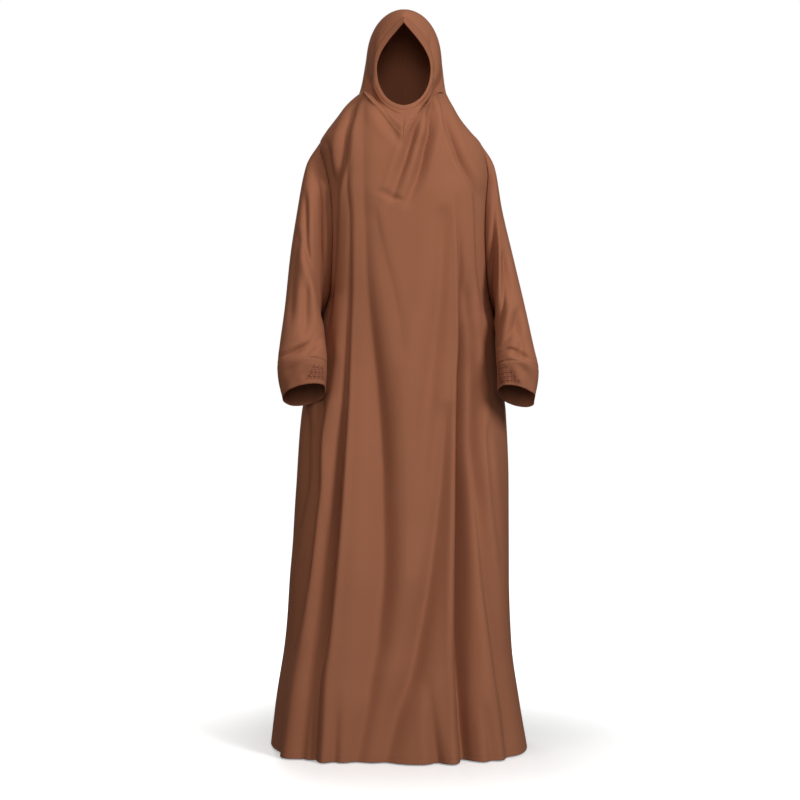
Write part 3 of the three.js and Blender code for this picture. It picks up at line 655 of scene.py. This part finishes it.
# %% Folds of the sleeves and cuffs
SLEEVE_FOLDS = {
    "left": [
        Fold([(1360, -196, 0, 8), (1302, -192, 13, 9), (1255, -188, 17, 9), (1160, -184, 18, 9),
              (1069, -178, 16, 9), (990, -172, 8, 9), (960, -170, 0, 8)], edge=1.6),
        Fold([(1290, -224, 0, 8), (1240, -222, 13, 8), (1160, -218, 14, 9), (1110, -206, 13, 9),
              (1060, -192, 8, 9), (1030, -184, 0, 9)], edge=1.7),
        Fold([(1200, -240, 0, 8), (1160, -238, 9, 8), (1110, -246, 9, 9), (1020, -250, 8, 9),
              (960, -252, 0, 9)]),
        Fold([(960, -186, 0, 10), (930, -200, 10, 12), (910, -226, 15, 16), (893, -256, 15, 20),
              (880, -280, 6, 22), (872, -292, 0, 22)], edge=1.6, lip=0.2),
        Fold([(948, -176, 0, 8), (930, -184, 9, 9), (915, -196, 11, 10), (898, -212, 8, 12),
              (884, -228, 0, 12)], edge=1.6),
        Fold([(1090, -210, 0, 10), (1040, -214, 9, 10), (980, -214, 8, 10), (930, -216, 0, 10)]),
    ],
    "right": [
        Fold([(1250, 216, 0, 8), (1204, 212, 8, 8), (1160, 210, 14, 9), (1090, 203, 19, 9),
              (1025, 196, 17, 9), (960, 192, 7, 9), (940, 190, 0, 9)], edge=1.5),
        Fold([(1140, 234, 0, 8), (1115, 234, 11, 8), (1069, 233, 14, 9), (1025, 230, 15, 9),
              (980, 220, 14, 9), (930, 208, 12, 9), (900, 204, 0, 9)], edge=1.6),
        Fold([(1016, 266, 0, 9), (990, 263, 9, 10), (962, 254, 13, 12), (936, 238, 15, 14),
              (918, 218, 12, 16), (904, 205, 0, 18)], edge=1.6, lip=0.2),
        Fold([(918, 242, 0, 8), (908, 256, 10, 11), (890, 277, 11, 13), (876, 292, 0, 14)],
             edge=1.7, lip=0.2),
        Fold([(918, 240, 0, 8), (905, 228, 10, 9), (892, 217, 8, 9), (882, 212, 0, 9)], edge=1.7),
        Fold([(1010, 264, 0, 10), (960, 264, 8, 10), (915, 270, 9, 10), (885, 278, 4, 10),
              (870, 280, 0, 10)]),
        Fold([(1330, 216, 0, 10), (1240, 224, 9, 11), (1120, 240, 11, 11), (1040, 250, 9, 12),
              (1000, 256, 0, 12)]),
    ],
}
CUFF_FOLDS = {
    "left": [
        Fold([(884, -232, 0, 12), (862, -250, 5, 14), (838, -262, 5, 14), (815, -270, 0, 14)]),
        Fold([(880, -206, 0, 10), (856, -212, 4, 10), (832, -214, 0, 10)]),
    ],
    "right": [
        Fold([(884, 262, 0, 10), (862, 280, 6, 12), (840, 292, 5, 12), (815, 298, 0, 12)]),
        Fold([(880, 236, 0, 9), (858, 244, 4, 10), (836, 250, 0, 10)]),
    ],
}
SLEEVE_BACK_FOLDS = {
    "left": [
        Fold([(1370, -198, 0, 10), (1250, -206, 7, 11), (1100, -214, 9, 12), (980, -212, 4, 12),
              (940, -212, 0, 12)]),
        Fold([(1180, -232, 0, 9), (1080, -238, 6, 10), (960, -244, 6, 10), (900, -248, 0, 10)]),
    ],
    "right": [
        Fold([(1370, 196, 0, 10), (1250, 210, 7, 11), (1100, 226, 9, 12), (980, 236, 4, 12),
              (940, 238, 0, 12)]),
        Fold([(1180, 240, 0, 9), (1080, 252, 6, 10), (960, 262, 6, 10), (900, 268, 0, 10)]),
    ],
}
for name in SLEEVES:
    print(len(SLEEVE_FOLDS[name]), "folds on the front of the", name, "sleeve")

# %% [markdown]
# A point of a sleeve is found by how far it is along, from the armhole at 0 to the cuff at
# 1 and the cuff's mouth at 2, and by its angle round the ring, from the underarm at 0 over
# the front to the back.


# %% The sleeves' surface
def ring_point(side, ring, along, angle):
    over = np.stack([side * ring.over_x(along), ring.over_y(along), ring.over_z(along)], -1)
    under = np.stack([side * ring.under_x(along), ring.under_y(along), ring.under_z(along)], -1)
    forward = np.stack([0 * along, -ring.half(along), ring.rise(along)], axis=-1)
    middle, reach = (over + under) / 2, (over - under) / 2
    bow = np.sign(np.sin(angle)) * np.abs(np.sin(angle)) ** SLEEVE_FLAT
    return middle - reach * np.cos(angle)[..., None] + forward * bow[..., None]


def armhole_point(side, angle):
    height = ARMHOLE_MIDDLE - ARMHOLE_HALF * np.cos(angle)
    before = panel_point("front", side * end_angle("front", height), height)
    behind = panel_point("back", side * end_angle("back", height), height)
    return np.where((angle < np.pi)[..., None], before, behind)


def sleeve_surface(name, side, along, angle):
    ring = SLEEVES[name]
    point = ring_point(side, ring, along, angle)
    follow = (1 - np.minimum(along / SLEEVE_HEAD, 1)) ** 2
    pull = armhole_point(side, angle) - ring_point(side, ring, 0 * along, angle)
    point = point + pull * follow[..., None]
    before = sunk(SLEEVE_FOLDS[name], point[..., 0], point[..., 2])
    behind = sunk(SLEEVE_BACK_FOLDS[name], point[..., 0], point[..., 2])
    depth = np.where(angle < np.pi, before, behind) * np.abs(np.sin(angle))
    depth = depth * smooth(along, 0, HEAD_HOLD) * smooth(1 - along, 0, CUFF_HOLD)
    inward = np.stack([side * np.cos(angle) * SINK_SIDEWAYS, np.sin(angle), 0 * angle], -1)
    return point + inward * depth[..., None]


# %% [markdown]
# The cuff is a wide band sewn to the end of the sleeve. It carries a turned hem, so its
# rows are close together at its mouth. The tubes are closed along the underarm seam.

# %% Sleeves and cuffs
SLEEVE_COLUMNS = 108
SLEEVE_ROWS = 124
CUFF_ROWS = 22
CUFF_TOP_ROWS = [0, 0.015, 0.035]
CUFF_HEM_ROWS = [0.83, 0.85, 0.87, 0.9, 0.95, 1]
CUFF_SWAY = [(1.6, 3, 1), (1.1, 7, 2)]  # waves round the cuff: depth, number and start


def tube(node, side, points, from_edge, top, bottom):
    if side < 0:
        points = points[:, ::-1]
        from_edge = from_edge[:, ::-1]
    uv = cloth_uv(points, from_edge)
    points = turned_in(points, top, bottom, left=0, right=0)
    points = np.concatenate([seam_allowance(points, 0, 1), points])
    uv = np.concatenate([uv[:1], uv])
    points[:, -1] = points[:, 0]
    add_sheet(node, points, uv, close=True)


def sleeve(name, side):
    alongs = spread(SLEEVE_ROWS, fine=(0.004, 0.009))
    angles = np.linspace(0, 2 * np.pi, SLEEVE_COLUMNS)
    along, angle = np.meshgrid(alongs, angles, indexing="ij")
    points = sleeve_surface(name, side, along, angle)
    tube("sleeve_" + name, side, points, FAR / MM + 0 * along, top=0.4, bottom=1)


def cuff_surface(name, side, along, angle):
    ring = SLEEVES[name]
    sway = sum(deep * np.sin(count * angle + start * side) for deep, count, start in CUFF_SWAY)
    point = ring_point(side, ring, 1 + along, angle)
    outward = np.stack([-side * np.cos(angle), -np.sin(angle), 0 * angle], axis=-1)
    depth = sunk(CUFF_FOLDS[name], point[..., 0], point[..., 2])
    depth = depth * np.maximum(np.sin(angle), 0) * smooth(along, 0, HEAD_HOLD)
    return point + outward * (sway * smooth(along, 0, 1) - depth)[..., None]


def cuff(name, side):
    between = np.linspace(0.06, 0.8, CUFF_ROWS)
    alongs = np.concatenate([CUFF_TOP_ROWS, between, CUFF_HEM_ROWS])
    angles = np.linspace(0, 2 * np.pi, SLEEVE_COLUMNS)
    along, angle = np.meshgrid(alongs, angles, indexing="ij")
    points = cuff_surface(name, side, along, angle)
    down = lengths(points, 0)
    tube("cuff_" + name, side, points, down[-1:] - down, top=1, bottom=0)


for make in (sleeve, cuff):
    make("left", -1)
    make("right", 1)

# %% [markdown]
# Shader maths reads best as plain expressions. A small class wraps a socket, so that sums
# and products of masks can be written as they are thought of, and adds the Math nodes.


# %% Materials as expressions
class Signal:
    def __init__(self, paint, socket):
        self.paint, self.socket = paint, socket

    def math(self, operation, *others):
        sockets = dict(enumerate((self, *others)))
        return self.paint.node("ShaderNodeMath", {"operation": operation}, sockets)

    def __add__(self, other):
        return self.math("ADD", other)

    def __mul__(self, other):
        return self.math("MULTIPLY", other)

    def __sub__(self, other):
        return self.math("SUBTRACT", other)

    def __rsub__(self, other):
        return self.math("MULTIPLY_ADD", -1.0, other)

    def __abs__(self):
        return self.math("ABSOLUTE")

    def under(self, limit, soft):
        """1 where this is well under the limit, 0 where it is over, softly between."""
        return self.paint.node("ShaderNodeMapRange", {"interpolation_type": "SMOOTHSTEP"},
                               {"Value": self, "From Min": limit - soft, "From Max": limit + soft,
                                "To Min": 1.0, "To Max": 0.0})


class Paint:
    def __init__(self, name):
        self.material = bpy.data.materials.new(name)
        self.material.use_nodes = True
        self.tree = self.material.node_tree
        self.tree.nodes.clear()

    def node(self, kind, settings=None, sockets=None, output=0):
        made = self.tree.nodes.new(kind)
        for key, value in (settings or {}).items():
            setattr(made, key, value)
        for key, value in (sockets or {}).items():
            if isinstance(value, Signal):
                self.tree.links.new(value.socket, made.inputs[key])
            else:
                made.inputs[key].default_value = value
        return Signal(self, made.outputs[output]) if made.outputs else None


# %% [markdown]
# The cloth is a plain crepe: matt, with a very fine pebbled face, hardly any sheen and
# hardly any change of colour. A line of small stitches runs 12 mm from each finished edge,
# and a short seam runs down from the middle of the neckline, in front and behind.

# %% Crepe
CLOTH_COLOUR = (0.325, 0.129, 0.070, 1)
CLOTH_DARK = (0.278, 0.107, 0.057, 1)
HEM_DEPTH = 0.012
STITCH_LENGTH = 0.0032
LINE_HALF, LINE_SOFT = 0.0009, 0.0007
SEAM_FROM, SEAM_TO = 1.30, 1.42  # metres above the hem, along the cloth
PEBBLES, CLOUDS = 1100.0, 7.0  # to a metre


def crepe():
    paint = Paint("crepe")
    where = paint.node("ShaderNodeTexCoord", output=3)
    cloth = paint.node("ShaderNodeUVMap", {"uv_map": "cloth"})
    split = {"Vector": cloth}
    across = paint.node("ShaderNodeSeparateXYZ", sockets=split, output=0)
    from_edge = paint.node("ShaderNodeSeparateXYZ", sockets=split, output=1)
    pebble = paint.node("ShaderNodeTexNoise",
                        sockets={"Vector": where, "Scale": PEBBLES, "Detail": 3.0})
    cloudy = paint.node("ShaderNodeTexNoise",
                        sockets={"Vector": where, "Scale": CLOUDS, "Detail": 2.0})
    line = abs(from_edge - HEM_DEPTH).under(LINE_HALF, LINE_SOFT)
    beat = (across * (1 / STITCH_LENGTH)).math("FRACT")
    stitch = line * abs(beat - 0.5).under(0.36, 0.06)
    seam = abs(across).under(LINE_HALF, LINE_SOFT)
    seam = seam * (1 - from_edge.under(SEAM_FROM, 0.01)) * from_edge.under(SEAM_TO, 0.01)
    tone = cloudy * 0.7 + pebble * 0.3
    darker = tone.under(0.5, 0.35) * 0.5 + line * 0.35 + seam * 0.4
    colour = paint.node("ShaderNodeMix", {"data_type": "RGBA"},
                        {0: darker, 6: CLOTH_COLOUR, 7: CLOTH_DARK}, output=2)
    height = pebble * 0.16 - line * 0.5 + stitch * 0.75 - seam * 0.6
    bump = paint.node("ShaderNodeBump",
                      sockets={"Height": height, "Strength": 0.55, "Distance": 0.0006})
    surface = paint.node("ShaderNodeBsdfPrincipled", sockets={
        "Base Color": colour, "Roughness": 0.85, "Normal": bump, "Specular IOR Level": 0.08,
        "Sheen Weight": 0.02, "Sheen Roughness": 0.4, "Sheen Tint": (0.9, 0.55, 0.4, 1)})
    paint.node("ShaderNodeOutputMaterial", sockets={"Surface": surface})
    return paint.material


crepe_cloth = crepe()
for piece in pieces.values():
    piece.data.materials.append(crepe_cloth)
print("crepe has", len(crepe_cloth.node_tree.nodes), "nodes")

# %% [markdown]
# Both cuffs are embroidered in thread of the cloth's own colour. The motif here is a
# plain one: sprigs of leaves in rows that grow shorter, over a border of small stitches.
# Every leaf and stitch is one small rounded lozenge laid on the cuff, so the work stands
# a little proud and catches the light as satin stitch does.

# %% Embroidery
STITCH_LIFT = 0.4
STITCH_RELIEF = 0.8
LEAVES = [(0.55, 1.0), (np.pi / 2, 1.25), (np.pi - 0.55, 1.0)]  # each one's slant and length
LEAF_OUT, LEAF_WIDTH = 0.55, 0.42  # these and the bud are shares of the sprig's size
BUD, BUD_BELOW = 0.4, 0.25
SPRIG_APART, SPRIG_SIZE = 1.05, 0.66  # shares of the distance between rows
ROW_SPREAD = 0.92  # the share of a row that its sprigs take up
BORDER_LENGTH, BORDER_WIDTH = 2.3, 1.3
BORDER_BELOW = 0.32  # a share of the distance between rows
EMBROIDERY = {
    # where the motif's foot is on the cuff, its half width and height in millimetres, its
    # rows, and how far it narrows towards its top, on the side away from the body
    "left": {"side": -1, "angle": 0.92, "along": 0.7,
             "half": 21, "height": 27, "rows": 3, "taper": 0.35},
    "right": {"side": 1, "angle": 0.98, "along": 0.8,
              "half": 30, "height": 52, "rows": 6, "taper": 0.95},
}
SMALL_STEP, ROUGH_STEP = 0.01, 0.05  # steps for finding directions and distances


def cuff_frame(name, side, angle, along):
    """A point of the cuff in millimetres, and its directions to the right, up and out."""
    angles = np.array([angle, angle + SMALL_STEP, angle])
    alongs = np.array([along, along, along + SMALL_STEP])
    here, beside, below = cuff_surface(name, side, alongs, angles)
    right = (beside - here) * side
    right /= np.linalg.norm(right)
    up = here - below
    up -= right * (up @ right)
    up /= np.linalg.norm(up)
    return here, right, up, np.cross(right, up)


def cuff_place(name, side, angle, along, right_by, up_by):
    """The angle and the share along the cuff that lie this far to the right and up."""
    alongs = 1 + along + np.array([0, 0, ROUGH_STEP])
    angles = angle + np.array([0, ROUGH_STEP, 0])
    here, beside, below = ring_point(side, SLEEVES[name], alongs, angles)
    per_angle = np.linalg.norm(beside - here) / ROUGH_STEP
    per_along = np.linalg.norm(below - here) / ROUGH_STEP
    return angle + side * right_by / per_angle, along - up_by / per_along


def lay_stitch(shape, name, motif, right_by, up_by, turn, length, width):
    """Lays one lozenge of thread on the cuff."""
    side = motif["side"]
    angle, along = cuff_place(name, side, motif["angle"], motif["along"], right_by, up_by)
    here, right, up, out = cuff_frame(name, side, angle, along)
    lengthways = right * np.cos(turn) + up * np.sin(turn)
    sideways = up * np.cos(turn) - right * np.sin(turn)
    made = bmesh.ops.create_uvsphere(shape, u_segments=8, v_segments=6, radius=1)
    for vertex in made["verts"]:
        x, y, z = vertex.co.z, vertex.co.x, vertex.co.y
        point = here + lengthways * x * length / 2 + sideways * y * width / 2
        point = point + out * (STITCH_LIFT + z * STITCH_RELIEF)
        vertex.co = Vector(point * MM - np.array([0, 0, CROWN_LIFT]))


def sprig(shape, name, motif, right_by, up_by, size):
    """Three leaves and a bud that spring from one foot."""
    for turn, length in LEAVES:
        reach = size * length * LEAF_OUT
        lay_stitch(shape, name, motif, right_by + np.cos(turn) * reach,
                   up_by + np.sin(turn) * reach, turn, size * length, size * LEAF_WIDTH)
    lay_stitch(shape, name, motif, right_by, up_by - size * BUD_BELOW, 0, size * BUD, size * BUD)


# %% [markdown]
# The rows are laid one above the other, and their sprigs stay close to the body's side.


# %% Rows of sprigs
def embroider(name, motif):
    shape = bmesh.new()
    half, rows = motif["half"], motif["rows"]
    pitch = motif["height"] / rows
    for row in range(rows):
        reach = half * (1 - motif["taper"] * row / rows)
        inwards = -motif["side"] * (half - reach)
        count = max(int(round(2 * reach / (pitch * SPRIG_APART))), 1)
        for i in range(count):
            place = (i + 0.5) / count * 2 - 1
            sprig(shape, name, motif, inwards + place * reach * ROW_SPREAD, row * pitch,
                  pitch * SPRIG_SIZE)
        for i in range(count * 3 + 1):
            place = i / (count * 3) * 2 - 1
            lay_stitch(shape, name, motif, inwards + place * reach,
                       row * pitch - pitch * BORDER_BELOW, 0, BORDER_LENGTH, BORDER_WIDTH)
    mesh = bpy.data.meshes.new("embroidery_" + name)
    for face in shape.faces:
        face.smooth = True
    bmesh.ops.recalc_face_normals(shape, faces=shape.faces)
    shape.to_mesh(mesh)
    shape.free()
    piece = bpy.data.objects.new("embroidery_" + name, mesh)
    bpy.context.collection.objects.link(piece)
    print(piece.name, len(mesh.polygons), "faces")
    return piece


embroidery = {name: embroider(name, motif) for name, motif in EMBROIDERY.items()}

# %% [markdown]
# The thread is darker and a little glossier than the cloth, with fine strands.

# %% Thread
THREAD_COLOUR = (0.23, 0.070, 0.035, 1)
THREAD_DARK = (0.14, 0.040, 0.020, 1)
STRANDS = 2600.0  # to a metre


def thread():
    paint = Paint("thread")
    where = paint.node("ShaderNodeTexCoord", output=3)
    strands = paint.node("ShaderNodeTexNoise",
                         sockets={"Vector": where, "Scale": STRANDS, "Detail": 1.0})
    bump = paint.node("ShaderNodeBump",
                      sockets={"Height": strands, "Strength": 0.5, "Distance": 0.0003})
    darker = strands.under(0.5, 0.3) * 0.5
    colour = paint.node("ShaderNodeMix", {"data_type": "RGBA"},
                        {0: darker, 6: THREAD_COLOUR, 7: THREAD_DARK}, output=2)
    surface = paint.node("ShaderNodeBsdfPrincipled", sockets={
        "Base Color": colour, "Roughness": 0.5, "Normal": bump, "Specular IOR Level": 0.4})
    paint.node("ShaderNodeOutputMaterial", sockets={"Surface": surface})
    return paint.material


thread_material = thread()
for piece in embroidery.values():
    piece.data.materials.append(thread_material)

# %% [markdown]
# The floor is pale and lies just under the hem. It glows and lights nothing, as a paper
# sweep that is lit by itself, and round the garment's foot its glow is dimmed as a painted shadow.

# %% Floor
FLOOR_SIZE = 30.0
FLOOR_GAP = 0.003
# the painted shadow round the garment's foot fades out between these two distances
FLOOR_NEAR, FLOOR_FAR = 0.2, 1.1  # the floor glows brighter from here to here
# the floor's glow near the garment's foot, dimmed as a painted shadow
PAINTED_SHADOW_GLOW = (0.31, 0.318, 0.324, 1)
FAR_GLOW = (1, 1, 1, 1)
floor_shape = bmesh.new()
bmesh.ops.create_grid(floor_shape, x_segments=1, y_segments=1, size=FLOOR_SIZE / 2)
floor_mesh = bpy.data.meshes.new("floor")
floor_shape.to_mesh(floor_mesh)
floor_shape.free()
floor = bpy.data.objects.new("floor", floor_mesh)
floor.location.z = CAD_BOX[0][2] - FLOOR_GAP
bpy.context.collection.objects.link(floor)
floor_paint = Paint("floor")
floor_place = floor_paint.node("ShaderNodeTexCoord", output=3)
floor_reach = floor_paint.node("ShaderNodeVectorMath", {"operation": "LENGTH"},
                               {0: floor_place}, output=1)
# painted shadow: 1 near the garment's foot, fading to 0 farther out
floor_painted_shadow = floor_reach.under((FLOOR_NEAR + FLOOR_FAR) / 2, (FLOOR_FAR - FLOOR_NEAR) / 2)
# the floor's even glow, with the painted shadow round the garment's foot
floor_glow_and_painted_shadow = floor_paint.node("ShaderNodeMix", {"data_type": "RGBA"},
                              {0: floor_painted_shadow, 6: FAR_GLOW, 7: PAINTED_SHADOW_GLOW}, output=2)
floor_surface = floor_paint.node("ShaderNodeBsdfPrincipled", sockets={
    "Base Color": (0.93, 0.93, 0.925, 1), "Roughness": 0.35, "Specular IOR Level": 0.3,
    "Emission Color": floor_glow_and_painted_shadow, "Emission Strength": 0.95})
floor_paint.node("ShaderNodeOutputMaterial", sockets={"Surface": floor_surface})
floor.data.materials.append(floor_paint.material)
floor.visible_diffuse = False
floor.visible_glossy = False
print("floor at", round(floor.location.z, 4))

# %% [markdown]
# The surround is white to the camera and lights only a little. A large soft light stands
# in front to the right, so each fold's right side is lighter than its left. Weaker ones
# stand in front, to the left and overhead, and one behind shows the back.

# %% Surround and lights
SURROUND_SEEN = 1.0
SURROUND_LIGHT = 0.10
WHITE = (1, 1, 1)
WARM = (1, 0.89, 0.81)  # light that the cloth has thrown back into its folds
LIGHTS = {
    # name: (place, what it is aimed at, width and height, watts, colour)
    "key": ((2.7, -3.3, 1.4), (0, 0, -0.64), (1.1, 1.4), 142, WHITE),
    "front": ((0.2, -4.6, 0.4), (0, 0, -0.8), (1.4, 1.8), 40, WARM),
    "left": ((-2.8, -3.2, 0.4), (0, 0, -0.8), (1.2, 1.8), 30, WARM),
    "top": ((0, -0.8, 2.6), (0, 0, -0.5), (1.6, 1.2), 24, WHITE),
    "behind": ((-1.3, 3.8, 0.5), (0, 0, -0.9), (1.6, 1.8), 34, WHITE),
}
world = bpy.data.worlds.new("studio")
bpy.context.scene.world = world
world.use_nodes = True
background = world.node_tree.nodes["Background"]
background.inputs["Color"].default_value = (1, 1, 1, 1)
looked_at = world.node_tree.nodes.new("ShaderNodeLightPath").outputs["Is Camera Ray"]
strength = world.node_tree.nodes.new("ShaderNodeMapRange")
strength.inputs["To Min"].default_value = SURROUND_LIGHT
strength.inputs["To Max"].default_value = SURROUND_SEEN
world.node_tree.links.new(looked_at, strength.inputs["Value"])
world.node_tree.links.new(strength.outputs["Result"], background.inputs["Strength"])


def soft_light(name, place, aim, size, power, colour):
    data = bpy.data.lights.new(name, "AREA")
    data.shape = "RECTANGLE"
    data.size, data.size_y = size
    data.energy = power
    data.color = colour
    light = bpy.data.objects.new(name, data)
    light.location = place
    light.rotation_euler = (Vector(aim) - Vector(place)).to_track_quat("-Z", "Y").to_euler()
    bpy.context.collection.objects.link(light)


for name, row in LIGHTS.items():
    soft_light(name, *row)
bpy.context.scene.view_settings.view_transform = "Standard"
print(len(LIGHTS), "soft lights")

# %% [markdown]
# Every piece rides on the garment's one body and takes the place of its imported solid.
# The size each was cut to is listed with it.

CUTS = {
    # node: (flat width and length in metres, flat area in square metres, material slot)
    "front": ((0.98, 1.52), 1.08, "cloth"),
    "back": ((0.86, 1.56), 0.98, "cloth"),
    "hood_left": ((0.26, 0.34), 0.062, "cloth"),
    "hood_right": ((0.26, 0.34), 0.062, "cloth"),
    "face_band": ((0.58, 0.016), 0.0085, "cloth"),
    "sleeve_left": ((0.56, 0.42), 0.18, "cloth"),
    "sleeve_right": ((0.54, 0.42), 0.16, "cloth"),
    "cuff_left": ((0.33, 0.085), 0.024, "embroidered_cloth"),
    "cuff_right": ((0.31, 0.085), 0.022, "embroidered_cloth"),
}
for node, (flat, area, slot) in CUTS.items():
    piece = pieces[node]
    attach(piece, "root")
    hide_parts(node)
for piece in embroidery.values():
    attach(piece, "root")
